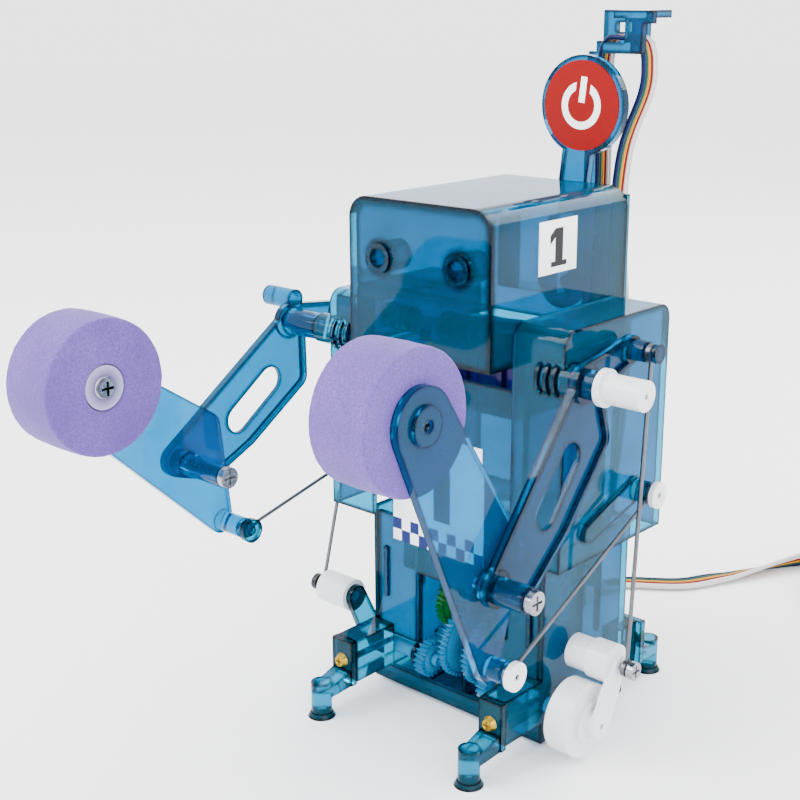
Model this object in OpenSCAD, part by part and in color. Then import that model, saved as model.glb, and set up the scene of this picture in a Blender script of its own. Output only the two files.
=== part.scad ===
// Wired boxing fighter robot kit: transparent body, two linkage-driven punching arms
// with foam gloves, a twin gear train, a power indicator paddle and a ribbon cable.
// Origin: on the floor, midway between the four feet. +Z up, the robot faces -Y,
// its left arm is on +X. Millimetres.

/* [Body] */
// Width of the lower body across its side walls
body_w = 72.4; // [60:0.2:90]
// Front face of the body
body_front = -19.3; // [-30:0.1:-10]
// Back face of the body
body_back = 27.4; // [20:0.1:40]
// Wall thickness of every transparent shell
wall = 1.8; // [1.2:0.1:3]
// Height at which the wide lower body ends
waist_z = 66; // [50:1:80]
// Width of the narrow upper body
chest_w = 55.2; // [40:0.2:60]

/* [Head and shoulders] */
// Width of the head cover
head_w = 56; // [40:1:80]
// Front face of the head cover
head_front = -37.8; // [-50:0.1:-25]
// Back edge of the head cover
head_back = 31.5; // [20:0.1:45]
// Lower edge of the head cover
head_z0 = 127; // [110:1:140]
// Top of the head cover
head_z1 = 174.6; // [160:0.2:200]
// Outer face of each shoulder box, from the middle
box_out = 47.3; // [40:0.1:60]
// Front face of the shoulder boxes
box_front = -27.8; // [-40:0.1:-20]
// Bottom of the shoulder boxes
box_z0 = 66.5; // [60:0.5:80]
// Top of the shoulder boxes
box_z1 = 140.7; // [120:0.1:160]

/* [Arms] */
// Shoulder axis, front to back
shoulder_y = -24.2; // [-35:0.1:0]
// Shoulder axis height
shoulder_z = 126.1; // [100:0.1:150]
// Shoulder axis to elbow axis
upper_len = 64.3; // [50:0.1:80]
// Shoulder axis to the rear lever pin
lever_len = 24.1; // [15:0.1:35]
// Elbow axis to glove centre
glove_reach = 57.9; // [45:0.1:75]
// Elbow axis to the tail pin
tail_len = 26.3; // [15:0.1:35]
// Foam glove diameter
glove_d = 41; // [30:1:60]
// Foam glove width
glove_w = 20; // [12:1:40]
// Direction of the left upper arm, from +Y towards +Z
left_upper_deg = 231.8; // [200:0.1:250]
// Direction of the left forearm
left_fore_deg = 115.5; // [90:0.1:170]
// Direction of the right upper arm
right_upper_deg = 215.3; // [200:0.1:250]
// Direction of the right forearm
right_fore_deg = 138.5; // [90:0.1:170]

/* [Drive] */
// Crank axis, front to back
crank_y = -16; // [-25:0.5:0]
// Crank axis height
crank_z = 14.5; // [12:0.5:30]
// Crank axis to crank pin
crank_r = 19.5; // [10:0.5:25]
// Direction of the left crank pin
left_crank_deg = 61.5; // [0:0.5:180]
// Direction of the right crank pin
right_crank_deg = 115.5; // [0:0.5:180]
// Gear module
gear_m = 0.6; // [0.4:0.05:1]

/* [Indicator and cable] */
// Pivot of the paddle, left to right
paddle_x = -1; // [-10:0.5:10]
// Pivot height of the paddle
paddle_z = 137.5; // [120:0.5:160]
// Pivot to the middle of the disc
paddle_len = 61.3; // [40:0.1:80]
// Disc diameter
paddle_d = 32; // [20:1:50]
// Lean of the raised paddle from upright
paddle_deg = 6.6; // [0:0.1:30]
// Width of the ribbon cable
ribbon_w = 9; // [5:0.5:15]
// Thickness of the ribbon cable
ribbon_t = 1.6; // [1:0.1:3]
// Outer radius of the coiled spare cable
coil_r = 43; // [35:1:60]

/* [Hidden] */
$fn = 48;
half_w = body_w / 2;
half_chest = chest_w / 2;
half_head = head_w / 2;
box_in = 28.5;
box_back = 28;
chest_top = 126;
floor_z = 1.7;

S = [shoulder_y, shoulder_z];
B = [10.6, 83.6];                       // short rod's bracket pin on the shoulder box
lever_deg = 142;                        // rear lever, from the upper arm's direction
tail_deg = -198.9;                      // tail, from the forearm's direction
C = [crank_y, crank_z];
function along(p, a, r) = [p[0] + r * cos(a), p[1] + r * sin(a)];
E_l = along(S, left_upper_deg, upper_len);
E_r = along(S, right_upper_deg, upper_len);
R_l = along(S, left_upper_deg + lever_deg, lever_len);
R_r = along(S, right_upper_deg + lever_deg, lever_len);
G_l = along(E_l, left_fore_deg, glove_reach);
G_r = along(E_r, right_fore_deg, glove_reach);
T_l = along(E_l, left_fore_deg + tail_deg, tail_len);
T_r = along(E_r, right_fore_deg + tail_deg, tail_len);
P_l = along(C, left_crank_deg, crank_r);
P_r = along(C, right_crank_deg, crank_r);

axle_r = 2.4;                           // shoulder axle
pin_r = 1.0;                            // linkage pins
eye_in = 1.9;                           // rod eyes run loose on their pins
eye_out = 2.7;
screw_r = 1.6;                          // elbow screw
run = 0.06;                             // running clearance in radius
plate_t = 2.8;                          // arm plates

// Planes of the left arm, from the middle outwards
l_fore = 45.2;
l_upper = 50.2;
l_rod = 54.7;
l_wire = 59.1;
// Planes of the right arm (negative side), named by their outer faces
r_upper = -72;
r_fore = -66.4;
r_rod = -51.8;
r_wire = -56.5;
fore_t = 2.6;
hub_r = 6.5;                            // collar in the middle of a glove

// Gear train: teeth and axle centres [y, z]; the output gear shares the crank axis
t_pin = 10;
t_green = 34;
t_small = 12;
t_blue = 38;
t_out = 20;
A4 = C;
A3 = [-8.5, 20.5];
A2 = [-6, 35.29];
A1 = [0, 47.05];
gear_x = [3.5, 7.8, 11.6];              // inner faces of the three gear planes
gear_w = 3;
side_x = 16;                            // gearbox side plates
motor_x = 17.6;
shaft_in_r = 2.2;                       // output shaft inside the gearbox
shaft_r = 2.6;                          // output shaft outside the gearbox
bearing_r = 4.2;
cover_z0 = 20;                          // lower edge of the front cover
sill_h = 4;
window_x = 17;
window_z = 46;

paddle_y = 36;                          // front face of the paddle
slot_x = 6;
slot_z = 104;
mast_y = 58;
mast_z0 = 112;
bar_z = 214.6;
bar_t = 3.4;
hook_top = 228;
foot_x = 32;
foot_y = 50.5;
coil_c = [82, 171];
coil_w = 11;

// Ribbon route: [x, y, z, direction of its width in the XY plane]
ROUTE = [
    [6, 24.6, 104, 0], [6, 33, 104, 0], [6, 41, 105, 0], [6, 47.5, 112, 20],
    [5.4, 51, 128, 60], [4.6, 52, 160, 90], [4.1, 52, 198, 90], [4, 52, 211, 90],
    [5.2, 52, 217, 90], [8, 52, 219.6, 90], [12.5, 52, 219.4, 90], [16.4, 52, 219.6, 90],
    [19.6, 52, 217, 90], [20.9, 52, 211, 90], [20, 52, 202, 90], [13, 52, 183, 90],
    [10.8, 52.5, 155, 85], [12, 54, 112, 50], [6, 58, 66, 20], [-6, 69, 30, 0],
    [-15, 84, 10, -10], [-18, 95, 2.6, -20], [-14, 106, 1.6, -38], [4, 120, 1.6, -35],
    [13, 136, 1.6, -25], [30, 168, 1.6, -35], [47.8, 195, 4.7, -35]];

// ---- shared shapes ----

blue = [0.16, 0.62, 0.86, 0.6];
white = [0.95, 0.95, 0.96];
steel = [0.6, 0.62, 0.65];
brass = [0.82, 0.66, 0.25];

// Cylinder along X from x0 to x1, centred on p = [y, z]
module rod_x(r, x0, x1, p) {
    translate([min(x0, x1), p[0], p[1]]) rotate([0, 90, 0]) cylinder(r = r, h = abs(x1 - x0));
}

// Tube along X
module ring_x(r, bore, x0, x1, p) {
    difference() {
        rod_x(r, x0, x1, p);
        rod_x(bore, min(x0, x1) - 1, max(x0, x1) + 1, p);
    }
}

// A 2D outline drawn in [Y, Z], made t thick from x0 towards +X
module plate_yz(x0, t) {
    translate([x0, 0, 0]) rotate([90, 0, 90]) linear_extrude(t) children();
}

// A 2D outline drawn in [X, Z], t thick from y0 towards +Y
module plate_xz(y0, t) {
    translate([0, y0 + t, 0]) rotate([90, 0, 0]) linear_extrude(t) children();
}

module box(a, b) {
    translate(a) cube(b - a);
}

// Points p[i] in the frame of an arm: u along its direction a, v to its left
function place(o, a, pts) = [for (p = pts)
    [o[0] + p[0] * cos(a) - p[1] * sin(a), o[1] + p[0] * sin(a) + p[1] * cos(a)]];

module disc(p, r) {
    translate(p) circle(r = r);
}

// Straight-sided gear outline with a tooth centred on the angle phase
function gear_points(teeth, phase) =
    let (pitch = 360 / teeth, tip = gear_m * (teeth + 2) / 2, root = gear_m * (teeth - 2.5) / 2)
    [for (i = [0 : teeth - 1], s = [[root, -0.27], [tip, -0.1], [tip, 0.1], [root, 0.27]])
        let (a = phase + pitch * (i + s[1])) [s[0] * cos(a), s[0] * sin(a)]];

module gear_x_at(teeth, phase, x0, w, p, bore) {
    difference() {
        plate_yz(x0, w) translate(p) polygon(gear_points(teeth, phase));
        rod_x(bore, x0 - 1, x0 + w + 1, p);
    }
}

function bearing(p, q) = atan2(q[1] - p[1], q[0] - p[0]);
// Phase that puts a gap of the second gear opposite a tooth of the first
function gap_phase(p, q, teeth) = bearing(q, p) + 180 / teeth;

// Mirror the left pieces onto the right side
module side(s) {
    if (s > 0) children();
    else mirror([1, 0, 0]) children();
}

// ---- body ----

module lower_body() {
    lug_x = half_w - 9;
    color(blue) difference() {
        union() {
            for (s = [-1, 1]) side(s) {
                box([half_w - wall, body_front, floor_z], [half_w, body_back, waist_z]);
                box([lug_x, -38, 9], [half_w, body_front, 24]);
                box([lug_x, body_back, 9], [half_w - wall, 38, 24]);
                // vertical stiffening ribs on the inside of the side wall
                for (y = [2, 12]) box([half_w - 3.2, y, 30], [half_w - wall, y + 1.4, waist_z]);
            }
            box([-half_w, body_front, floor_z], [half_w, body_back, floor_z + wall]);
            box([-half_w, body_back - wall, floor_z], [half_w, body_back, waist_z]);
            // sill below the gear window
            box([-half_w + wall, body_front, floor_z + wall],
                [half_w - wall, body_front + wall, floor_z + wall + sill_h]);
        }
        rod_x(shaft_r + run, -half_w - 1, half_w + 1, C);
        for (s = [-1, 1]) translate([s * foot_x, 0, 16.5]) rotate([90, 0, 0])
            cylinder(r = 1.3, h = 90, center = true);
    }
}

module upper_body() {
    color(blue) difference() {
        box([-half_chest, body_front + wall, waist_z], [half_chest, body_back, chest_top]);
        box([-half_chest + wall, body_front, waist_z + wall],
            [half_chest - wall, body_back - wall, chest_top + 1]);
        // slot that the ribbon leaves through, as wide and as thick as the ribbon
        box([slot_x - ribbon_w / 2, body_back - wall - 1, slot_z - ribbon_t / 2],
            [slot_x + ribbon_w / 2, body_back + 1, slot_z + ribbon_t / 2]);
        // hole for the motor leads in the floor
        translate([0, 8, waist_z - 1]) cylinder(r = 7, h = wall + 2);
    }
}

module front_cover() {
    color(blue) difference() {
        union() {
            plate_xz(body_front, wall) union() {
                translate([-half_w + wall, cover_z0])
                    square([body_w - 2 * wall, waist_z - wall - cover_z0]);
                translate([-half_chest, waist_z - 3]) square([chest_w, 54]);
            }
            // raised ribs down the front
            for (x = [-31, 20, 30]) box([x, body_front - 1, 34], [x + 1.6, body_front, 52]);
        }
        // notch over the gears
        box([-window_x, body_front - 2, cover_z0 - 1], [window_x, body_front + 3, window_z]);
        translate([-31, 0, 90]) rotate([90, 0, 0]) cylinder(r = 2, h = 90, center = true);
    }
}

module chest_label() {
    color(white) box([-27, body_front - 0.3, 56], [11, body_front, 96]);
}

// Shoulder box, open below and towards the body, with the arm's axle and the rod's bracket
module shoulder_box(s) {
    axle_end = s > 0 ? 71 : 73;
    boss_end = s > 0 ? 49.8 : 54.2;
    rod_end = s > 0 ? 53.6 : 50.2;
    color(blue) side(s) {
        difference() {
            shoulder_block();
            box([box_in - 1, box_front + wall, box_z0 - 1],
                [box_out - wall, box_back - wall, box_z1 - wall]);
        }
        rod_x(5, box_out - 10, boss_end, S);
        for (x = [38 : 3 : 44]) rod_x(6, x, x + 1.2, S);
        rod_x(axle_r, boss_end, axle_end, S);
        // bracket arm and boss of the short rod
        hull() {
            rod_x(3, box_out, box_out + 1.6, [-14, 76]);
            rod_x(4, box_out, box_out + 1.6, B);
        }
        rod_x(3.6, box_out, rod_end, B);
        rod_x(pin_r, rod_end, rod_end + 3, B);
    }
}

module shoulder_box_left() { shoulder_box(1); }
module shoulder_box_right() { shoulder_box(-1); }

// Outer block of a shoulder box, with rounded front and back top corners
module shoulder_block() {
    r = 5;
    plate_yz(box_in, box_out - box_in) hull() {
        translate([box_front, box_z0]) square([box_back - box_front, 1]);
        disc([box_front + r, box_z1 - r], r);
        disc([box_back - r, box_z1 - r], r);
    }
}

module head_profile(inset, z0) {
    r = 7 - inset;
    hull() {
        translate([-half_head + inset, z0]) square([head_w - 2 * inset, 1]);
        for (s = [-1, 1]) disc([s * (half_head - 7), head_z1 - 7], r);
    }
}

module head_cover() {
    eye_x = 15.5;
    eye_z = 156.3;
    color(blue) difference() {
        union() {
            difference() {
                plate_xz(head_front, head_back - head_front) head_profile(0, head_z0);
                plate_xz(head_front + wall, head_back - head_front) head_profile(wall, head_z0 - 2);
            }
            for (s = [-1, 1]) translate([s * eye_x, head_front + 10, eye_z]) rotate([90, 0, 0])
                cylinder(r = 4.8, h = 11);
            // ribs across the inside of the front
            for (z = [146, 150]) box([-26.2, head_front + wall, z], [26.2, head_front + 3, z + 1]);
        }
        for (s = [-1, 1]) translate([s * eye_x, head_front + 11, eye_z]) rotate([90, 0, 0])
            cylinder(r = 2.9, h = 14);
    }
}

module head_label() {
    color(white) box([half_head, -15.5, 152.6], [half_head + 0.3, 3.5, 168.7]);
}

module neck_block() {
    color([0.3, 0.28, 0.75, 0.8]) difference() {
        union() {
            box([-20, -14, 106], [20, 20, 124]);
            for (x = [-14, 0, 14]) box([x - 1, -15.5, 108], [x + 1, -14, 124]);
            translate([0, 4, 124]) cylinder(r = 11, h = 6);
        }
        translate([0, 4, 100]) cylinder(r = 6, h = 40);
    }
}

module neck_shaft() {
    p = [-24, 135];
    color(blue) {
        rod_x(2, -26.2, 18, p);
        for (x = [-24 : 3 : -15]) rod_x(4.2, x, x + 1.6, p);
        for (x = [0 : 3 : 12]) rod_x(4.8, x, x + 1.6, p);
        box([-10, -25, 129], [-7, -23, 136]);
    }
}

// Foot: a flared pin on an arm, with a tab screwed to the body's lug; f = -1 front, 1 rear
module foot(s, f) {
    x = s * foot_x;
    tab = 38;
    difference() {
        union() {
            translate([x, f * foot_y, 0]) {
                cylinder(r1 = 4.7, r2 = 3.8, h = 1.6);
                cylinder(r = 3.5, h = 12.5);
            }
            hull() {
                translate([x, f * foot_y, 7]) cylinder(r = 3.5, h = 3.5, $fn = 32);
                translate([x - 4, f * (tab + 1.2) - 1.2, 8]) cube([8, 2.4, 5.3]);
            }
            translate([x - 4.5, f * (tab + 1.2) - 1.2, 8]) cube([9, 2.4, 16]);
        }
        translate([x, f * (tab + 1.2), 16.5]) rotate([90, 0, 0])
            cylinder(r = 1.35, h = 6, center = true);
    }
}

module foot_front_left() { color(blue) foot(1, -1); }
module foot_front_right() { color(blue) foot(-1, -1); }
module foot_rear_left() { color(blue) foot(1, 1); }
module foot_rear_right() { color(blue) foot(-1, 1); }

module foot_screws() {
    color(brass) for (sx = [-1, 1], sy = [-1, 1])
        translate([sx * foot_x, sy * 40.4, 16.5]) rotate([sy * -90, 0, 0]) difference() {
            union() {
                cylinder(r1 = 2.6, r2 = 1.8, h = 1.6);
                translate([0, 0, -9]) cylinder(r = 1.25, h = 9);
            }
            for (a = [0, 90]) rotate(a) translate([-1.4, -0.3, 1]) cube([2.8, 0.6, 2]);
        }
}

// ---- gear train ----

module gearbox_centre_plate() {
    color(blue) difference() {
        box([-1, -14, floor_z + wall], [1, body_back - wall, 62]);
        for (a = [A2, A3]) rod_x(1, -2, 2, a);
    }
}

module gearbox_side(s) {
    color(blue) side(s) difference() {
        union() {
            box([side_x, -17.4, floor_z + wall], [side_x + 1.4, body_back - wall, 62]);
            ring_x(bearing_r, shaft_in_r + run, side_x + 1.4, side_x + 3, C);
        }
        rod_x(3.2, side_x - 1, side_x + 3, A1);
        for (a = [A2, A3]) rod_x(1, side_x - 1, side_x + 2, a);
        rod_x(shaft_in_r + run, side_x - 1, side_x + 4, C);
    }
}
module gearbox_side_left() { gearbox_side(1); }
module gearbox_side_right() { gearbox_side(-1); }

module idler_axles() {
    color(steel) for (s = [-1, 1], a = [A2, A3]) side(s) rod_x(1, 0.02, side_x + 1.4, a);
}

module motor(s) {
    side(s) {
        color(steel) intersection() {
            rod_x(10, motor_x + 0.8, half_w - 3.4, A1);
            box([0, A1[0] - 7.6, 30], [40, A1[0] + 7.6, 70]);
        }
        color(steel) rod_x(3, motor_x - 1.4, motor_x + 0.8, A1);
    }
}
module motor_left() { motor(1); }
module motor_right() { motor(-1); }

// Motor pinion with its shaft, inside the gear train
module motor_pinion(s) {
    side(s) {
        color(white) gear_x_at(t_pin, bearing(A1, A2), gear_x[1], gear_w, A1, 0.9);
        color(steel) rod_x(0.9, gear_x[1], motor_x - 1.5, A1);
    }
}
module motor_pinion_left() { motor_pinion(1); }
module motor_pinion_right() { motor_pinion(-1); }

module green_gear(s) {
    color([0.1, 0.65, 0.35, 0.9]) side(s) {
        gear_x_at(t_green, gap_phase(A1, A2, t_green), gear_x[1], gear_w, A2, 1 + run);
        gear_x_at(t_small, bearing(A2, A3), gear_x[0], gear_x[1] - gear_x[0], A2, 1 + run);
    }
}
module green_gear_left() { green_gear(1); }
module green_gear_right() { green_gear(-1); }

module idler_gear(s) {
    color([0.55, 0.8, 0.95, 0.9]) side(s) {
        gear_x_at(t_blue, gap_phase(A2, A3, t_blue), gear_x[0], gear_w, A3, 1 + run);
        ring_x(2.6, 1 + run, gear_x[0] + gear_w, gear_x[2], A3);
        gear_x_at(t_small, bearing(A3, A4), gear_x[2], gear_w, A3, 1 + run);
    }
}
module idler_gear_left() { idler_gear(1); }
module idler_gear_right() { idler_gear(-1); }

// Output gear on its stepped shaft; the outer end carries the crank
module output_shaft(s) {
    end = s > 0 ? 43.5 : 39.6;
    color([0.55, 0.8, 0.95, 0.9]) side(s) union() {
        gear_x_at(t_out, gap_phase(A3, A4, t_out), gear_x[2], gear_w + 1, A4, 1);
        rod_x(shaft_in_r, 9, side_x + 4, A4);
        rod_x(shaft_r, side_x + 4, end, A4);
    }
}
module output_shaft_left() { output_shaft(1); }
module output_shaft_right() { output_shaft(-1); }

// ---- cranks ----

module crank_left() {
    color(white) {
        rod_x(12, 43.5, 51.5, C);
        difference() {
            union() {
                rod_x(6.6, 51.5, 53.2, C);
                rod_x(4.2, 53.2, 57, C);
                hull() {
                    rod_x(4.2, 55, 57, C);
                    rod_x(3.4, 55, 57, P_l);
                }
            }
            rod_x(1, 50, 58, C);
        }
    }
}

module crank_right() {
    color(blue) {
        ring_x(5, shaft_r, -39.6, -37, C);
        hull() {
            rod_x(4.6, -41.6, -39.6, C);
            rod_x(4, -41.6, -39.6, P_r);
        }
    }
}

module crank_sleeve_left() {
    color(white) {
        ring_x(5.6, 2, 39.6, 47.4, P_l);
        ring_x(6.4, 2, 47.4, 55, P_l);
    }
}

module crank_sleeve_right() {
    color(white) ring_x(5.6, 2, -54.6, -41.6, P_r);
}

// Pan-head screw that holds the long wire's eye on the crank pin
module pin_screw(x0, x1, head, p) {
    d = sign(x1 - x0);
    difference() {
        union() {
            rod_x(pin_r, x0, x1, p);
            rod_x(2.9, x1, x1 + d * head, p);
        }
        for (a = [[3.8, 0.7], [0.7, 3.8]])
            translate([x1 + d * head, p[0], p[1]]) cube([1.2, a[0], a[1]], center = true);
    }
}

module crank_screw_left() { color(steel) pin_screw(57, 60.6, 2, P_l); }
module crank_screw_right() {
    color([0.12, 0.12, 0.13]) pin_screw(-54.6, -58, 2, P_r);
}

// A wire of radius r between two eyes, in the plane x
module link(x, r, p, q) {
    len = norm(q - p);
    a = bearing(p, q);
    for (c = [p, q]) ring_x(eye_out, eye_in, x - 0.7, x + 0.7, c);
    translate([x, p[0], p[1]]) rotate([a - 90, 0, 0])
        translate([0, 0, eye_in + 0.4]) cylinder(r = r, h = len - 2 * eye_in - 0.8);
}

module long_wire_left() { color(steel) link(l_wire, 0.65, R_l, P_l); }
module long_wire_right() { color(steel) link(r_wire, 0.65, R_r, P_r); }
module short_rod_left() { color(steel) link(l_rod, 0.55, B, T_l); }
module short_rod_right() { color(steel) link(r_rod, 0.55, B, T_r); }

// ---- arms ----

// Outline of the upper arm with its bent rear lever, about the shoulder
module upper_outline(a, grow) {
    o = S;
    hull() {
        for (p = place(o, a, [[0, 1], [upper_len, 0]])) disc(p, 5.4 + grow);
        for (p = place(o, a, [[10, 17.5], [38, 16.5], [56, 13]])) disc(p, 4.5 + grow);
    }
    hull() for (p = place(o, a, [[0, 0.5], [10, 15]])) disc(p, 5.6 + grow);
    hull() {
        disc(o, 6 + grow);
        disc(along(o, a + lever_deg, lever_len), 4.2 + grow);
    }
}

// Plate with a raised rim and a long recess, bored for the axle and the elbow
module upper_plate(a, x0, elbow, rim_out) {
    skin = 1.4;
    difference() {
        plate_yz(x0, plate_t) upper_outline(a, 0);
        plate_yz(rim_out ? x0 + skin : x0 - 1, plate_t - skin + 1) difference() {
            upper_outline(a, -1.4);
            disc(S, 6);
            disc(elbow, 5.6);
            disc(along(S, a + lever_deg, lever_len), 4.4);
        }
        plate_yz(x0 - 1, plate_t + 2) hull()
            for (p = place(S, a, [[20, 9], [38, 9]])) disc(p, 4.6);
        rod_x(axle_r + run, x0 - 2, x0 + 5, S);
        rod_x(screw_r + run, x0 - 2, x0 + 5, elbow);
    }
}

module upper_arm_left() {
    x1 = l_upper + plate_t;
    color(blue) {
        upper_plate(left_upper_deg, l_upper, E_l, true);
        ring_x(4.4, axle_r + run, x1, 57.6, S);
        ring_x(4, screw_r + run, x1, 63.6, E_l);
        rod_x(3.2, l_upper + 1, 57.8, R_l);
        rod_x(pin_r, 57.8, 61.6, R_l);
    }
    color(white) rod_x(2.9, 60.4, 62, R_l);
}

module upper_arm_right() {
    x1 = r_upper + plate_t;
    color(blue) {
        upper_plate(right_upper_deg, r_upper, E_r, false);
        ring_x(4.5, axle_r + run, x1, -54.6, S);
        rod_x(3.2, x1 - 1, -58, R_r);
        rod_x(pin_r, -58, -54.6, R_r);
        // spare boss on the outer side
        rod_x(3.5, -84, r_upper + 1, place(S, right_upper_deg, [[-6.6, -3.4]])[0]);
    }
}

// Triangular forearm plate between glove, elbow corner and tail
module fore_outline(o, a, grow) {
    hull() {
        for (p = place(o, a, [[glove_reach, 0]])) disc(p, 10.5 + grow);
        for (p = place(o, a, [[0, 5.6], [0, -13.5]])) disc(p, 5 + grow);
        disc(along(o, a + tail_deg, tail_len), 4.6 + grow);
    }
}

module fore_plate(o, a, x0, glove, screw) {
    difference() {
        plate_yz(x0, fore_t) fore_outline(o, a, 0);
        rod_x(screw_r + run, x0 - 1, x0 + fore_t + 1, o);
        rod_x(screw, x0 - 1, x0 + fore_t + 1, glove);
    }
}

module forearm_left() {
    x1 = l_fore + fore_t;
    color(blue) {
        fore_plate(E_l, left_fore_deg, l_fore, G_l, 1.8);
        ring_x(5.5, 1.8, x1, x1 + 1.2, G_l);
        ring_x(4.2, screw_r + run, x1, l_upper - 0.2, E_l);
        ring_x(3.6, screw_r + run, l_fore - 2.4, l_fore, E_l);
        rod_x(3.4, x1, 53.6, T_l);
        rod_x(pin_r, 53.6, 57, T_l);
    }
}

module forearm_right() {
    x1 = r_fore + fore_t;
    color(blue) {
        fore_plate(E_r, right_fore_deg, r_fore, G_r, 1.8);
        ring_x(4.2, screw_r + run, r_upper + plate_t + 0.2, r_fore, E_r);
        ring_x(3.6, screw_r + run, x1, -46, E_r);
        rod_x(3.4, x1, -53, T_r);
        rod_x(pin_r, -53, -49.6, T_r);
    }
}

module glove(x0, p) {
    r = glove_d / 2;
    color([0.72, 0.66, 0.85]) translate([x0, p[0], p[1]]) rotate([0, 90, 0]) difference() {
        cylinder(r = r, h = glove_w, $fn = 96);
        translate([0, 0, -1]) cylinder(r = hub_r + 0.1, h = glove_w + 2);
    }
}
module glove_left() { glove(l_fore - glove_w, G_l); }
module glove_right() { glove(r_fore + fore_t, G_r); }

// Screw and collar through the middle of a glove, head at x0 and tip at x1
module glove_screw(x0, x1, p) {
    d = sign(x1 - x0);
    color(steel) difference() {
        union() {
            rod_x(1.75, x0, x1, p);
            rod_x(hub_r, x0, x0 + d * 3, p);
            rod_x(2.7, x0 - d * 1.6, x0, p);
        }
        for (a = [[3.6, 0.7], [0.7, 3.6]])
            translate([x0 - d * 1.6, p[0], p[1]]) cube([1.4, a[0], a[1]], center = true);
    }
}
module glove_screw_left() { glove_screw(l_fore - glove_w + 1, l_fore + 2.5, G_l); }
module glove_screw_right() { glove_screw(r_fore + fore_t + glove_w - 1, r_fore + 0.4, G_r); }

// White flanged sleeve that keeps the left arm on its axle
module shoulder_sleeve_left() {
    color(white) difference() {
        union() {
            rod_x(5.6, 58, 59.8, S);
            rod_x(4.5, 59.8, 72.4, S);
        }
        rod_x(axle_r, 57, 71, S);
        rod_x(0.9, 70, 74, S);
    }
}

module elbow_screw_left() {
    color(steel) pin_screw_long(l_fore - 2.4, 63.8, E_l);
}
module elbow_screw_right() {
    color(steel) pin_screw_long(r_upper, -45.8, E_r);
}
module pin_screw_long(x0, x1, p) {
    difference() {
        union() {
            rod_x(screw_r, x0, x1, p);
            rod_x(3.4, x1, x1 + 2.2, p);
        }
        for (a = [[4.4, 0.8], [0.8, 4.4]])
            translate([x1 + 2.2, p[0], p[1]]) cube([1.6, a[0], a[1]], center = true);
    }
}

module tail_cap_left() { color(white) ring_x(4.3, pin_r, 55.8, 57.6, T_l); }
module tail_cap_right() { color(blue) ring_x(4, pin_r, -50.6, -48.4, T_r); }

module bracket_caps() {
    color(white) {
        ring_x(4.2, pin_r, 55.8, 57.4, B);
        ring_x(4.2, pin_r, -54.6, -52.9, B);
    }
}

// ---- indicator ----

module power_paddle() {
    hub = [paddle_x, paddle_z];
    tip = [paddle_x + paddle_len * sin(paddle_deg), paddle_z + paddle_len * cos(paddle_deg)];
    color(blue) difference() {
        union() {
            plate_xz(paddle_y, 3) {
                disc(tip, paddle_d / 2);
                hull() {
                    disc(hub, 5.5);
                    disc(tip, 5.5);
                }
            }
            translate([hub[0], paddle_y, hub[1]]) rotate([-90, 0, 0]) cylinder(r = 7, h = 4);
        }
        translate([hub[0], 0, hub[1]]) rotate([-90, 0, 0]) cylinder(r = 2 + run, h = 60);
    }
}

module paddle_face() {
    a = paddle_deg;
    color([0.88, 0.04, 0.08]) translate([paddle_x + paddle_len * sin(a), paddle_y,
        paddle_z + paddle_len * cos(a)]) rotate([90, 0, 0]) cylinder(r = paddle_d / 2 - 1.6, h = 0.5);
}

// Back plate of the head with the paddle's pivot pin and a ratchet housing
module indicator_housing() {
    color(blue) {
        box([-27.5, head_back, chest_top + 1.5], [27.5, head_back + wall, 172]);
        translate([paddle_x, head_back + wall, paddle_z]) rotate([-90, 0, 0]) {
            cylinder(r = 5, h = paddle_y - head_back - wall - 0.3);
            cylinder(r = 2, h = 7);
        }
        box([-12, head_back - 16, 140], [12, head_back, 166]);
        for (z = [144, 151, 158]) box([12, head_back - 14, z], [16, head_back, z + 1.5]);
    }
}

module cable_hook() {
    back_y = mast_y + 2.5;                  // back face of the plate behind the ribbon
    front_y = mast_y - 14.5;                // front face of the column before it
    color(blue) {
        // foot on the body's back, mast and the block at its top
        box([-7, body_back, mast_z0], [-1, back_y, mast_z0 + 12]);
        box([-7, mast_y, mast_z0], [-1, back_y, bar_z]);
        box([-4, mast_y, bar_z - 2], [-1, back_y, bar_z + bar_t]);
        // plate behind the ribbon, with a window over the bar
        plate_xz(mast_y, 2.5) difference() {
            translate([-1.4, bar_z]) square([16.9, hook_top - bar_z]);
            translate([3.5, 221]) square([6.5, 3]);
        }
        // bar under the ribbon, column in front of it and finger over it
        box([8, front_y, bar_z], [17.4, back_y, bar_z + bar_t]);
        box([16.4, front_y, bar_z], [23, front_y + 2.5, hook_top]);
        box([12, front_y, hook_top - 2.4], [23, back_y, hook_top]);
        box([22.5, front_y, hook_top - 4], [26.5, front_y + 2.5, hook_top]);
    }
}

// ---- ribbon cable ----

// Smooth the route: two cubic steps between neighbouring points
function spline(a, b, c, d, t) =
    0.5 * (2 * b + (c - a) * t + (2 * a - 5 * b + 4 * c - d) * t * t
        + (3 * b - a - 3 * c + d) * t * t * t);
function smooth(r, n) = [for (i = [0 : len(r) - 2], k = [0 : n - 1])
    spline(r[max(i - 1, 0)], r[i], r[i + 1], r[min(i + 2, len(r) - 1)], k / n),
    r[len(r) - 1]];
function unit(v) = v / norm(v);
function xyz(p) = [p[0], p[1], p[2]];
// Eight-sided flat section, width w and thickness t, set across the direction d
function section(p, d, w, t) =
    let (a = unit([cos(p[3]), sin(p[3]), 0]), n = unit(cross(d, a)), b = cross(n, d))
    [for (q = [[0.5, 0.25], [0.46, 0.5], [-0.46, 0.5], [-0.5, 0.25],
               [-0.5, -0.25], [-0.46, -0.5], [0.46, -0.5], [0.5, -0.25]])
        xyz(p) + b * q[0] * w + n * q[1] * t];

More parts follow.
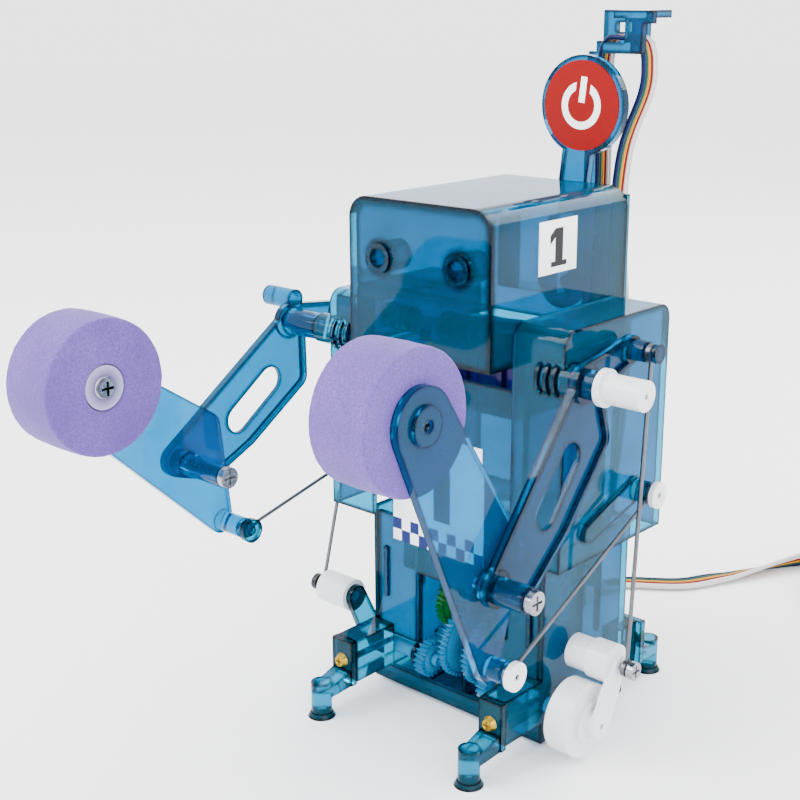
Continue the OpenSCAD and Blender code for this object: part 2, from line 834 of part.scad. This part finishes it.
module strip(r, w, t) {
    m = len(r);
    pts = [for (i = [0 : m - 1])
        each section(r[i], unit(xyz(r[min(i + 1, m - 1)]) - xyz(r[max(i - 1, 0)])), w, t)];
    faces = concat([[for (j = [0 : 7]) 7 - j]], [[for (j = [0 : 7]) (m - 1) * 8 + j]],
        [for (i = [0 : m - 2], j = [0 : 7])
            each let (k = i * 8, l = (j + 1) % 8)
                [[k + j, k + l, k + 8 + l], [k + j, k + 8 + l, k + 8 + j]]]);
    polyhedron(pts, faces, convexity = 10);
}

module ribbon_run() {
    color([0.75, 0.75, 0.78]) strip(smooth(ROUTE, 3), ribbon_w, ribbon_t);
}

module ribbon_coil() {
    color([0.75, 0.75, 0.78]) translate([coil_c[0], coil_c[1], 0])
        rotate_extrude($fn = 96) translate([coil_r - coil_w, 0]) square([coil_w, ribbon_w]);
}

module ribbon_plug() {
    color([0.12, 0.12, 0.13]) translate([coil_c[0] - coil_r + coil_w + 0.6, coil_c[1] - 6, 0])
        cube([14, 12, 6]);
}

lower_body();
upper_body();
front_cover();
chest_label();
shoulder_box_left();
shoulder_box_right();
head_cover();
head_label();
neck_block();
neck_shaft();
foot_front_left();
foot_front_right();
foot_rear_left();
foot_rear_right();
foot_screws();
gearbox_centre_plate();
gearbox_side_left();
gearbox_side_right();
idler_axles();
motor_left();
motor_right();
motor_pinion_left();
motor_pinion_right();
green_gear_left();
green_gear_right();
idler_gear_left();
idler_gear_right();
output_shaft_left();
output_shaft_right();
crank_left();
crank_right();
crank_sleeve_left();
crank_sleeve_right();
crank_screw_left();
crank_screw_right();
long_wire_left();
long_wire_right();
short_rod_left();
short_rod_right();
upper_arm_left();
upper_arm_right();
forearm_left();
forearm_right();
glove_left();
glove_right();
glove_screw_left();
glove_screw_right();
shoulder_sleeve_left();
elbow_screw_left();
elbow_screw_right();
tail_cap_left();
tail_cap_right();
bracket_caps();
power_paddle();
paddle_face();
indicator_housing();
cable_hook();
ribbon_run();
ribbon_coil();
ribbon_plug();
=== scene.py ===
"""Looks for the wired boxing robot kit: clear blue plastic over a gear train, foam gloves, ribbon cable."""
import math

import bmesh
import bpy
import numpy as np
from mathutils import Matrix, Vector


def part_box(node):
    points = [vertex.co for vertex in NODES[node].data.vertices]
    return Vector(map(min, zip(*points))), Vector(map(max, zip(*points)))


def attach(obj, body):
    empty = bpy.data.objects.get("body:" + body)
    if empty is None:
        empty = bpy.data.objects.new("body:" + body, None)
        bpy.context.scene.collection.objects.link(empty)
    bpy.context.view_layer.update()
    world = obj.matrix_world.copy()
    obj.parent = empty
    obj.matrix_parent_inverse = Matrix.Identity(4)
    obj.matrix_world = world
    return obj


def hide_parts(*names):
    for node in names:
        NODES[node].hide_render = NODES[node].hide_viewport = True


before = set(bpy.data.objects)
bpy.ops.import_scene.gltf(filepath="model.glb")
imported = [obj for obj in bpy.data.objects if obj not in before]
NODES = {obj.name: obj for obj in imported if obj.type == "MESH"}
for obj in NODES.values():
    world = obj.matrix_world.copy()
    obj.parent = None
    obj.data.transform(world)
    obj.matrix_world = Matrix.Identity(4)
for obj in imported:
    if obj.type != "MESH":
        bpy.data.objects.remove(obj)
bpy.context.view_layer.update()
MM = 0.001
scene = bpy.context.scene

# ---------------------------------------------------------------- camera

CAMERA_AT = (0.26470, -0.33766, 0.23192)
HEADING = 42.2016
DOWNWARD = 16.4043
ROLL = -0.2958
LENS = 61.36

cam_data = bpy.data.cameras.new("camera")
cam_data.sensor_width = 36
cam_data.lens = LENS
cam_data.clip_start = 0.01
cam_data.clip_end = 20
cam = bpy.data.objects.new("camera", cam_data)
scene.collection.objects.link(cam)
cam.matrix_world = (
    Matrix.Translation(CAMERA_AT)
    @ Matrix.Rotation(math.radians(HEADING), 4, "Z")
    @ Matrix.Rotation(math.radians(90 - DOWNWARD), 4, "X")
    @ Matrix.Rotation(math.radians(ROLL), 4, "Z")
)
scene.camera = cam

# ---------------------------------------------------------------- node-tree helpers


class Tree:
    """A material's node tree, with one short call for each kind of node it needs."""

    def __init__(self, name):
        self.mat = bpy.data.materials.new(name)
        self.mat.use_nodes = True
        self.t = self.mat.node_tree
        self.t.nodes.clear()
        self.out = self.t.nodes.new("ShaderNodeOutputMaterial")
        self.bsdf = self.t.nodes.new("ShaderNodeBsdfPrincipled")
        self.t.links.new(self.bsdf.outputs[0], self.out.inputs["Surface"])
        self.coord = self.t.nodes.new("ShaderNodeTexCoord").outputs["Object"]

    def set(self, **values):
        for key, value in values.items():
            self.bsdf.inputs[key.replace("_", " ")].default_value = value

    def link(self, value, socket):
        """Put a number, a colour or another node's output on a socket."""
        if isinstance(value, bpy.types.NodeSocket):
            self.t.links.new(value, socket)
        elif socket.type == "RGBA" and len(value) == 3:
            socket.default_value = (*value, 1)
        else:
            socket.default_value = value

    def math(self, op, a, b=0.0, c=0.0):
        n = self.t.nodes.new("ShaderNodeMath")
        n.operation = op
        for value, socket in zip((a, b, c), n.inputs):
            self.link(value, socket)
        return n.outputs[0]

    def mix(self, factor, a, b):
        n = self.t.nodes.new("ShaderNodeMix")
        n.data_type = "RGBA"
        self.link(factor, n.inputs[0])
        self.link(a, n.inputs[6])
        self.link(b, n.inputs[7])
        return n.outputs[2]

    def noise(self, scale, detail=3.0, rough=0.5, coord=None):
        n = self.t.nodes.new("ShaderNodeTexNoise")
        n.inputs["Scale"].default_value = scale
        n.inputs["Detail"].default_value = detail
        n.inputs["Roughness"].default_value = rough
        self.t.links.new(coord or self.coord, n.inputs["Vector"])
        return n.outputs[0]

    def cells(self, scale):
        n = self.t.nodes.new("ShaderNodeTexVoronoi")
        n.inputs["Scale"].default_value = scale
        self.t.links.new(self.coord, n.inputs["Vector"])
        return n.outputs["Distance"]

    def ramp(self, value, low, high, a=0.0, b=1.0):
        n = self.t.nodes.new("ShaderNodeMapRange")
        n.clamp = True
        self.link(value, n.inputs[0])
        for i, x in enumerate((low, high, a, b)):
            n.inputs[i + 1].default_value = x
        return n.outputs[0]

    def bump(self, height, strength, distance):
        n = self.t.nodes.new("ShaderNodeBump")
        n.inputs["Strength"].default_value = strength
        n.inputs["Distance"].default_value = distance
        self.link(height, n.inputs["Height"])
        self.t.links.new(n.outputs[0], self.bsdf.inputs["Normal"])

    def xyz(self):
        n = self.t.nodes.new("ShaderNodeSeparateXYZ")
        self.t.links.new(self.coord, n.inputs[0])
        return n.outputs

    def edge(self, radius):
        """1 on a corner and on the narrow rim of a plate, 0 on its broad faces."""
        b = self.t.nodes.new("ShaderNodeBevel")
        b.samples = 6
        b.inputs["Radius"].default_value = radius
        g = self.t.nodes.new("ShaderNodeNewGeometry")
        d = self.t.nodes.new("ShaderNodeVectorMath")
        d.operation = "DOT_PRODUCT"
        self.t.links.new(b.outputs[0], d.inputs[0])
        self.t.links.new(g.outputs["Normal"], d.inputs[1])
        return self.ramp(d.outputs["Value"], 0.999, 0.93)

    def between(self, value, low, high):
        """1 where low < value < high."""
        return self.math("MULTIPLY", self.math("GREATER_THAN", value, low),
                         self.math("LESS_THAN", value, high))


# ---------------------------------------------------------------- materials


def clear_plastic(name, body, rim, clear=0.86, rim_width=0.0013):
    """Tinted see-through plastic: light runs inside the sheet, so rims and corners look dark."""
    m = Tree(name)
    edge = m.edge(rim_width)
    flow = m.noise(55, 4, 0.6)
    tint = m.mix(m.ramp(flow, 0.35, 0.7), body, tuple(c * 0.8 for c in body))
    m.link(m.mix(edge, tint, rim), m.bsdf.inputs["Base Color"])
    m.link(m.ramp(m.noise(420, 3), 0.35, 0.7, 0.02, 0.07), m.bsdf.inputs["Roughness"])
    m.set(IOR=1.2, Transmission_Weight=clear)
    m.bump(m.noise(70, 2), 0.12, 0.0004)
    return m.mat


def moulded_plastic(name, colour, rough=0.3, shade=0.93, shine=0.5):
    """Solid moulded plastic with a faint flow pattern, fine tool marks and a painted highlight: its edges
    are painted lighter than its faces.
    """
    m = Tree(name)
    flow = m.noise(90, 4)
    tint = m.mix(m.ramp(flow, 0.35, 0.7), colour, tuple(c * shade for c in colour))
    # painted highlight: the edge mask mixes in a lighter copy of the colour along every edge
    m.link(m.mix(m.edge(0.0004), tint, tuple(min(1, c * 1.12 + 0.01) for c in colour)),
           m.bsdf.inputs["Base Color"])
    m.link(m.ramp(m.noise(600, 3), 0.3, 0.7, rough - 0.06, rough + 0.08), m.bsdf.inputs["Roughness"])
    m.set(IOR=1.5)
    m.bsdf.inputs["Specular IOR Level"].default_value = shine
    m.bump(m.noise(1500, 2), 0.08, 0.0001)
    return m.mat


def metal(name, colour, rough, grain=900, wear=0.72, depth=0.15):
    """Turned or drawn metal: fine marks, a little tarnish in patches."""
    m = Tree(name)
    patch = m.noise(160, 4)
    m.link(m.mix(m.ramp(patch, 0.35, 0.75), colour, tuple(c * wear for c in colour)),
           m.bsdf.inputs["Base Color"])
    m.link(m.ramp(m.noise(grain, 4), 0.3, 0.7, rough - 0.08, rough + 0.12), m.bsdf.inputs["Roughness"])
    m.set(Metallic=1.0)
    m.bump(m.noise(grain, 3), depth, 0.0001)
    return m.mat


def foam_material():
    """Fine open-celled foam, matt, with soft broad tone changes; the cell pits are painted darker as shade.
    """
    m = Tree("foam")
    cell = m.math("ADD", m.math("MULTIPLY", m.cells(1500), 0.7), m.math("MULTIPLY", m.noise(2600, 4), 0.6))
    tone = m.noise(60, 3)
    base = m.mix(m.ramp(tone, 0.35, 0.68), (0.128, 0.074, 0.315), (0.098, 0.056, 0.26))
    # painted shade: low cell values are the pits of the bump, and there the colour goes to the dark foam
    # colour
    m.link(m.mix(m.ramp(cell, 0.3, 0.85), (0.075, 0.042, 0.21), base), m.bsdf.inputs["Base Color"])
    m.set(Roughness=0.92, Sheen_Weight=0.1, Sheen_Roughness=0.5)
    m.bsdf.inputs["Specular IOR Level"].default_value = 0.2
    m.bump(cell, 0.45, 0.0004)
    return m.mat


def chest_label_material():
    """White film with a two-row navy checker along the bottom and a plain black numeral bar."""
    m = Tree("chest_label")
    x, _, z = m.xyz()
    square = 0.0038
    first_x = -0.027
    row_split = 0.060
    checker_top = 0.064
    bar_left, bar_right = -0.010, -0.003
    bar_low, bar_top = 0.067, 0.0935
    flag_left, flag_low = -0.0135, 0.0855
    col = m.math("FLOOR", m.math("DIVIDE", m.math("ADD", x, -first_x), square))
    row = m.math("GREATER_THAN", z, row_split)
    odd = m.math("MODULO", m.math("ADD", col, row), 2)
    checker = m.math("MULTIPLY", m.math("GREATER_THAN", odd, 0.5), m.math("LESS_THAN", z, checker_top))
    bar = m.math("MULTIPLY", m.between(x, bar_left, bar_right), m.between(z, bar_low, bar_top))
    flag_top = m.math("ADD", bar_top, m.math("MULTIPLY", m.math("ADD", x, -bar_left), 0.7))
    flag = m.math("MULTIPLY", m.between(x, flag_left, bar_left),
                  m.math("MULTIPLY", m.math("GREATER_THAN", z, flag_low),
                         m.math("LESS_THAN", z, flag_top)))
    paper = m.mix(m.noise(300, 3), (0.86, 0.87, 0.9), (0.93, 0.93, 0.95))
    ink = m.mix(checker, paper, (0.004, 0.014, 0.11))
    m.link(m.mix(m.math("MAXIMUM", bar, flag), ink, (0.012, 0.012, 0.016)), m.bsdf.inputs["Base Color"])
    m.link(m.ramp(m.noise(800, 2), 0.3, 0.7, 0.3, 0.42), m.bsdf.inputs["Roughness"])
    m.bsdf.inputs["Specular IOR Level"].default_value = 0.12
    return m.mat


def head_label_material():
    """White film with a slanted black numeral one."""
    m = Tree("head_label")
    _, y, z = m.xyz()
    middle_y = -0.006
    bar_left, bar_right = -0.0016, 0.0024
    bar_low, bar_top = 0.1553, 0.1662
    u = m.math("ADD", y, -middle_y)
    bar = m.math("MULTIPLY", m.between(u, bar_left, bar_right), m.between(z, bar_low, bar_top))
    top = m.math("ADD", bar_top, m.math("MULTIPLY", m.math("ADD", u, -bar_left), 0.8))
    flag = m.math("MULTIPLY", m.between(u, -0.0042, bar_left),
                  m.math("MULTIPLY", m.math("LESS_THAN", z, top),
                         m.math("GREATER_THAN", z, m.math("SUBTRACT", top, 0.0028))))
    foot = m.math("MULTIPLY", m.between(u, -0.0036, 0.0044), m.between(z, 0.1546, 0.1562))
    ink = m.math("MAXIMUM", m.math("MAXIMUM", bar, flag), foot)
    paper = m.mix(m.noise(300, 3), (0.88, 0.88, 0.9), (0.95, 0.95, 0.96))
    m.link(m.mix(ink, paper, (0.01, 0.01, 0.012)), m.bsdf.inputs["Base Color"])
    m.link(m.ramp(m.noise(800, 2), 0.3, 0.7, 0.3, 0.42), m.bsdf.inputs["Roughness"])
    m.bsdf.inputs["Specular IOR Level"].default_value = 0.12
    return m.mat


def paddle_face_material(centre, lean):
    """Red film with the plain on-off symbol: a broken ring and a bar."""
    ring_inner, ring_outer, gap_half = 0.0052, 0.0076, 0.0028
    bar_half, bar_low, bar_top = 0.00115, 0.001, 0.0092
    m = Tree("paddle_face")
    x, _, z = m.xyz()
    dx = m.math("SUBTRACT", x, centre[0])
    dz = m.math("SUBTRACT", z, centre[1])
    c, s = math.cos(lean), math.sin(lean)
    u = m.math("SUBTRACT", m.math("MULTIPLY", dx, c), m.math("MULTIPLY", dz, s))
    v = m.math("ADD", m.math("MULTIPLY", dx, s), m.math("MULTIPLY", dz, c))
    r = m.math("SQRT", m.math("ADD", m.math("MULTIPLY", u, u), m.math("MULTIPLY", v, v)))
    away = m.math("SUBTRACT", 1, m.math("MULTIPLY", m.math("GREATER_THAN", v, 0),
                                        m.math("LESS_THAN", m.math("ABSOLUTE", u), gap_half)))
    ring = m.math("MULTIPLY", m.between(r, ring_inner, ring_outer), away)
    bar = m.math("MULTIPLY", m.math("LESS_THAN", m.math("ABSOLUTE", u), bar_half),
                 m.between(v, bar_low, bar_top))
    red = m.mix(m.noise(220, 3), (0.21, 0.0001, 0.0004), (0.17, 0.0001, 0.0003))
    m.link(m.mix(m.math("MAXIMUM", ring, bar), red, (0.93, 0.93, 0.94)), m.bsdf.inputs["Base Color"])
    m.bsdf.inputs["Specular IOR Level"].default_value = 0.12
    m.link(m.ramp(m.noise(700, 2), 0.3, 0.7, 0.28, 0.4), m.bsdf.inputs["Roughness"])
    return m.mat


BLUE = clear_plastic("clear_blue", (0.0004, 0.28, 0.47), (0.0001, 0.002, 0.006), 0.90, 0.0018)
ARM_BLUE = clear_plastic("clear_blue_arm", (0.0002, 0.16, 0.36), (0.0001, 0.003, 0.009), 0.88, 0.0019)
HEAD_BLUE = clear_plastic("clear_blue_head", (0.0004, 0.25, 0.43), (0.0001, 0.0005, 0.0015), 0.92, 0.0036)
FOREARM = clear_plastic("clear_blue_forearm", (0.0005, 0.20, 0.44), (0.0003, 0.03, 0.09), 0.88, 0.0012)
VIOLET = clear_plastic("clear_violet", (0.018, 0.005, 0.15), (0.003, 0.002, 0.04), 0.5)
GREEN = clear_plastic("green_gear", (0.001, 0.16, 0.028), (0.0003, 0.05, 0.012), 0.1)
PALE = clear_plastic("pale_gear", (0.02, 0.28, 0.52), (0.004, 0.12, 0.27), 0.25)
WHITE = moulded_plastic("white_plastic", (0.66, 0.67, 0.69))
BLACK = moulded_plastic("black_plastic", (0.018, 0.018, 0.02), 0.4)
STEEL = metal("steel", (0.30, 0.31, 0.34), 0.24)
WIRE = metal("wire_steel", (0.12, 0.125, 0.14), 0.33)
MOTOR = metal("motor_can", (0.34, 0.35, 0.37), 0.3, 260, 0.9, 0.03)
DARK = metal("black_steel", (0.035, 0.035, 0.04), 0.36)
BRASS = metal("brass", (0.42, 0.27, 0.03), 0.28)
FOAM = foam_material()


def hub_material(name, centre):
    """A steel cross-headed screw set in a lilac collar; centre is its axis as (y, z). The recessed cross
    slot is painted near-black and the collar is painted darker next to the head, both as painted shade.
    """
    head_r, slot_r, slot_half, collar_r = 0.0033, 0.0021, 0.0004, 0.0065
    m = Tree(name)
    _, y, z = m.xyz()
    dy = m.math("SUBTRACT", y, centre[0])
    dz = m.math("SUBTRACT", z, centre[1])
    r = m.math("SQRT", m.math("ADD", m.math("MULTIPLY", dy, dy), m.math("MULTIPLY", dz, dz)))
    screw = m.ramp(r, 0.0031, head_r, 1, 0)
    thin = m.math("LESS_THAN", m.math("MINIMUM", m.math("ABSOLUTE", dy), m.math("ABSOLUTE", dz)), slot_half)
    cross = m.math("MULTIPLY", thin, m.math("LESS_THAN", r, slot_r))
    steel = m.mix(m.ramp(m.noise(500, 3), 0.35, 0.7), (0.34, 0.35, 0.38), (0.22, 0.23, 0.25))
    # painted shade: the recessed cross slot is painted near-black
    steel = m.mix(cross, steel, (0.006, 0.006, 0.008))
    # painted shade: the collar is painted darker next to the screw head and lighter towards its rim
    collar = m.mix(m.ramp(r, head_r, collar_r), (0.10, 0.08, 0.20), (0.32, 0.29, 0.48))
    m.link(m.mix(screw, collar, steel), m.bsdf.inputs["Base Color"])
    m.link(m.math("MULTIPLY", screw, 0.95), m.bsdf.inputs["Metallic"])
    m.link(m.ramp(m.noise(700, 3), 0.3, 0.7, 0.16, 0.3), m.bsdf.inputs["Roughness"])
    m.bump(m.math("SUBTRACT", m.ramp(r, 0.0029, head_r, 1, 0), cross), 0.6, 0.0004)
    return m.mat


def hub_centre(name):
    lo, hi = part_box(name)
    return ((lo.y + hi.y) / 2, (lo.z + hi.z) / 2)


HUBS = [hub_material(f"glove_hub_{s}", hub_centre(f"glove_{s}")) for s in ("left", "right")]
INSULATION = [
    moulded_plastic(f"wire_{name}", colour, 0.42, shine=0.12)
    for name, colour in (("navy", (0.0015, 0.007, 0.05)), ("green", (0.001, 0.055, 0.04)),
                         ("yellow", (0.50, 0.21, 0.0008)), ("red", (0.15, 0.0004, 0.0002)),
                         ("white", (0.60, 0.54, 0.54)), ("grey", (0.50, 0.50, 0.50)))
]

# ---------------------------------------------------------------- CAD nodes: material and softened edges

PADDLE_LEAN = math.radians(6.6)
PADDLE_PIVOT = (-0.001, 0.1375)
PADDLE_ARM = 0.0613
PADDLE_C = (PADDLE_PIVOT[0] + PADDLE_ARM * math.sin(PADDLE_LEAN),
            PADDLE_PIVOT[1] + PADDLE_ARM * math.cos(PADDLE_LEAN))
FACE = paddle_face_material(PADDLE_C, PADDLE_LEAN)
STARTS = [
    ("chest_label", chest_label_material()), ("head_label", head_label_material()),
    ("head_cover", HEAD_BLUE), ("neck_block", VIOLET), ("green_gear", GREEN),
    ("idler_gear", PALE), ("output_shaft", PALE), ("motor_pinion", WHITE), ("motor", MOTOR),
    ("crank_sleeve", WHITE), ("crank_left", WHITE), ("crank_screw_right", DARK),
    ("crank_screw", STEEL), ("shoulder_sleeve", WHITE), ("tail_cap_left", WHITE),
    ("bracket_caps", WHITE), ("foot_screws", BRASS), ("idler_axles", STEEL),
    ("long_wire", WIRE), ("short_rod", WIRE),
    ("glove_screw_left", HUBS[0]), ("glove_screw_right", HUBS[1]),
    ("elbow_screw", STEEL), ("glove", FOAM), ("paddle_face", FACE), ("forearm", FOREARM),
    ("upper_arm", ARM_BLUE), ("power_paddle", ARM_BLUE), ("cable_hook", ARM_BLUE),
    ("ribbon_plug", BLACK), ("ribbon", INSULATION[5]), ("", BLUE),
]
SOFTENED = (BLUE, ARM_BLUE, HEAD_BLUE, FOREARM, VIOLET, WHITE, BLACK)
EDGE_R = 0.00022
for name, node in NODES.items():
    chosen = next(mat for start, mat in STARTS if name.startswith(start))
    node.data.materials.clear()
    node.data.materials.append(chosen)
    if chosen in SOFTENED:
        soft = node.modifiers.new("soft_edges", "BEVEL")
        soft.width = EDGE_R
        soft.segments = 2
        soft.limit_method = "ANGLE"
        soft.angle_limit = math.radians(50)
        soft.harden_normals = False

# ---------------------------------------------------------------- ribbon cable

ROUTE = [
    (6, 24.6, 104, 0), (6, 33, 104, 0), (6, 41, 105, 0), (6, 47.5, 112, 20),
    (5.4, 51, 128, 60), (4.6, 52, 160, 90), (4.1, 52, 198, 90), (4, 52, 211, 90),
    (5.2, 52, 217, 90), (8, 52, 219.6, 90), (12.5, 52, 219.4, 90), (16.4, 52, 219.6, 90),
    (19.6, 52, 217, 90), (20.9, 52, 211, 90), (20, 52, 202, 90), (13, 52, 183, 90),
    (10.8, 52.5, 155, 85), (12, 54, 112, 50), (6, 58, 66, 20), (-6, 69, 30, 0),
    (-15, 84, 10, -10), (-18, 95, 2.6, -20), (-14, 106, 1.6, -38), (4, 120, 1.6, -35),
    (13, 136, 1.6, -25), (30, 168, 1.6, -35), (47.8, 195, 4.7, -35)]
COIL_C = (82, 171)
COIL_START_R = 41.6
COIL_START_DEG = 145.0
COIL_TURNS = 2.7
COIL_PITCH = 3.45
WIRE_R = 0.78
WIRE_PITCH = 1.5
WIRES = 6
WIRE_SIDES = 10
SUB_STEPS = 6            # points between two neighbours of ROUTE
TURN_STEPS = 14          # points over which the ribbon turns onto its edge
COIL_STEP_DEG = 9


def spline(a, b, c, d, t):
    return 0.5 * (2 * b + (c - a) * t + (2 * a - 5 * b + 4 * c - d) * t * t
                  + (3 * b - a - 3 * c + d) * t ** 3)


def ribbon_path():
    """Points of the centreline in mm, and at each the direction of the ribbon's width."""
    r = [np.array(p, float) for p in ROUTE]
    pts = []
    for i in range(len(r) - 1):
        a, d = r[max(i - 1, 0)], r[min(i + 2, len(r) - 1)]
        pts += [spline(a, r[i], r[i + 1], d, k / SUB_STEPS) for k in range(SUB_STEPS)]
    pts.append(r[-1])
    line = [p[:3] for p in pts]
    width = [np.array([math.cos(math.radians(p[3])), math.sin(math.radians(p[3])), 0]) for p in pts]
    steps = int(COIL_TURNS * 360 / COIL_STEP_DEG)
    for k in range(1, steps + 1):
        a = math.radians(COIL_START_DEG - COIL_STEP_DEG * k)
        rad = COIL_START_R - COIL_PITCH * COIL_STEP_DEG * k / 360
        line.append(np.array([COIL_C[0] + rad * math.cos(a), COIL_C[1] + rad * math.sin(a), ROUTE[-1][2]]))
        width.append(np.array([0, 0, 1.0]))
    # the flat ribbon turns onto its edge over the last stretch before the coil
    last = len(pts) - 1
    for j in range(last - TURN_STEPS, last + 1):
        s = (j - last + TURN_STEPS) / TURN_STEPS
        s = s * s * (3 - 2 * s)
        flat = width[j]
        width[j] = flat * math.cos(s * math.pi / 2) + np.array([0, 0, 1.0]) * math.sin(s * math.pi / 2)
    line = np.array(line)
    line[:, 2] = np.maximum(line[:, 2], WIRE_R + 0.1)
    return line, np.array(width)


def build_ribbon():
    line, width = ribbon_path()
    tangent = np.gradient(line, axis=0)
    tangent /= np.linalg.norm(tangent, axis=1)[:, None]
    # a ribbon that comes down to the floor turns flat on it
    flat = np.cross(tangent, (0, 0, 1.0))
    flat /= np.linalg.norm(flat, axis=1)[:, None]
    flat[(flat * width).sum(1) < 0] *= -1
    lying = np.clip((16 - line[:, 2]) / 10, 0, 1)[:, None] * (np.abs(width[:, 2]) < 0.01)[:, None]
    width = width * (1 - lying) + flat * lying
    side = width - (width * tangent).sum(1)[:, None] * tangent
    side /= np.linalg.norm(side, axis=1)[:, None]
    half = WIRE_PITCH * (WIRES - 1) / 2
    line[:, 2] = np.maximum(line[:, 2], 0.1 + WIRE_R + half * np.abs(side[:, 2]))
    up = np.cross(tangent, side)
    for i in range(1, len(up)):
        if up[i] @ up[i - 1] < 0:
            up[i] = -up[i]
    bm = bmesh.new()
    for w in range(WIRES):
        offset = w * WIRE_PITCH - half
        rings = []
        for p, s, u in zip(line, side, up):
            turns = [2 * math.pi * k / WIRE_SIDES for k in range(WIRE_SIDES)]
            ring = [p + s * (offset + WIRE_R * math.cos(a)) + u * WIRE_R * math.sin(a) for a in turns]
            rings.append([bm.verts.new(q * MM) for q in ring])
        for a, b in zip(rings, rings[1:]):
            for k in range(WIRE_SIDES):
                after = (k + 1) % WIRE_SIDES
                f = bm.faces.new((a[k], a[after], b[after], b[k]))
                f.material_index = w
                f.smooth = True
        for ring, order in ((rings[0], -1), (rings[-1], 1)):
            bm.faces.new(ring[::order]).material_index = w
    bmesh.ops.recalc_face_normals(bm, faces=bm.faces)
    mesh = bpy.data.meshes.new("ribbon_cable")
    bm.to_mesh(mesh)
    bm.free()
    for mat in INSULATION:
        mesh.materials.append(mat)
    obj = bpy.data.objects.new("ribbon_cable", mesh)
    scene.collection.objects.link(obj)
    length = float(np.linalg.norm(np.diff(line, axis=0), axis=1).sum()) * MM
    return obj, line * MM, length


ribbon, ribbon_line, ribbon_length = build_ribbon()
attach(ribbon, "torso")
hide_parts("ribbon_run", "ribbon_coil")

# ---------------------------------------------------------------- foam gloves


def lathe_x(name, profile, centre, mat, steps=128):
    """Turn a closed profile of (x, radius) in mm about an axis along X through centre = (y, z)."""
    bm = bmesh.new()
    rings = []
    for k in range(steps):
        a = 2 * math.pi * k / steps
        rings.append([bm.verts.new((x * MM,
                                    (centre[0] + r * math.cos(a)) * MM,
                                    (centre[1] + r * math.sin(a)) * MM)) for x, r in profile])
    n = len(profile)
    for k in range(steps):
        a, b = rings[k], rings[(k + 1) % steps]
        for i in range(n):
            f = bm.faces.new((a[i], a[(i + 1) % n], b[(i + 1) % n], b[i]))
            f.smooth = True
    bmesh.ops.recalc_face_normals(bm, faces=bm.faces)
    mesh = bpy.data.meshes.new(name)
    bm.to_mesh(mesh)
    bm.free()
    mesh.materials.append(mat)
    obj = bpy.data.objects.new(name, mesh)
    scene.collection.objects.link(obj)
    return obj


def glove_profile(x0, x1, r, bore):
    """Foam ring: rounded cut edges, a slightly crowned rim, a nipped lip at the bore."""
    pts = []
    edge = 0.9
    for k in range(7):
        a = math.pi / 2 * k / 6
        pts.append((x0 + edge - edge * math.cos(a), r - edge + edge * math.sin(a) - 0.25))
    for k in range(1, 12):
        s = k / 12
        pts.append((x0 + edge + (x1 - x0 - 2 * edge) * s, r - 0.25 + 0.25 * math.sin(math.pi * s)))
    for k in range(7):
        a = math.pi / 2 * k / 6
        pts.append((x1 - edge + edge * math.sin(a), r - edge + edge * math.cos(a) - 0.25))
    for s in (0.8, 0.6, 0.4, 0.2, 0.08):
        pts.append((x1 - 0.12 * math.sin(math.pi * s), bore + (r - bore - edge) * s))
    pts += [(x1 - 0.5, bore + 0.05), (x1 - 1.2, bore), (x0 + 1.2, bore), (x0 + 0.5, bore + 0.05)]
    for s in (0.08, 0.2, 0.4, 0.6, 0.8):
        pts.append((x0 + 0.12 * math.sin(math.pi * s), bore + (r - bore - edge) * s))
    return pts


GLOVE_R = 20.35
GLOVE_BORE = 6.65
GLOVE_INSET = 0.05
for side_name, body in (("left", "left_fore"), ("right", "right_fore")):
    lo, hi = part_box(f"glove_{side_name}")
    mid = ((lo + hi) / 2) / MM
    outline = glove_profile(lo.x / MM + GLOVE_INSET, hi.x / MM - GLOVE_INSET, GLOVE_R, GLOVE_BORE)
    glove = lathe_x(f"foam_glove_{side_name}", outline, (mid.y, mid.z), FOAM)
    pits = bpy.data.textures.new(f"foam_pits_{side_name}", "CLOUDS")
    pits.noise_scale = 0.0016
    pits.noise_depth = 2
    sub = glove.modifiers.new("fine", "SUBSURF")
    sub.levels = sub.render_levels = 1
    rough = glove.modifiers.new("pits", "DISPLACE")
    rough.texture = pits
    rough.texture_coords = "LOCAL"
    rough.strength = 0.00022
    rough.mid_level = 0.9
    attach(glove, body)
    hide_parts(f"glove_{side_name}")

# ---------------------------------------------------------------- floor and light

bpy.ops.mesh.primitive_plane_add(size=8, location=(0, 0, 0))
floor = bpy.context.object
floor.name = "floor"
ground = Tree("floor")
paper = ground.mix(ground.noise(6, 2), (0.96, 0.96, 0.965), (0.975, 0.975, 0.98))
ground.link(paper, ground.bsdf.inputs["Base Color"])
ground.set(Roughness=0.7)
floor.data.materials.append(ground.mat)

world = bpy.data.worlds.new("world")
world.use_nodes = True
sky = world.node_tree.nodes["Background"]
sky.inputs["Color"].default_value = (0.97, 0.98, 1.0, 1)
sky.inputs["Strength"].default_value = 3.0
scene.world = world


def softbox(name, place, aim, size, power):
    data = bpy.data.lights.new(name, "AREA")
    data.shape = "RECTANGLE"
    data.size, data.size_y = size
    data.energy = power
    light = bpy.data.objects.new(name, data)
    light.location = place
    light.rotation_euler = (Vector(aim) - Vector(place)).to_track_quat("-Z", "Y").to_euler()
    scene.collection.objects.link(light)


softbox("key", (-0.55, -0.75, 0.95), (0, 0, 0.1), (0.7, 0.7), 22)
softbox("fill", (0.95, -0.35, 0.55), (0, 0, 0.1), (0.9, 0.6), 8)
softbox("rim", (0.2, 0.9, 0.7), (0, 0, 0.12), (0.8, 0.4), 9)
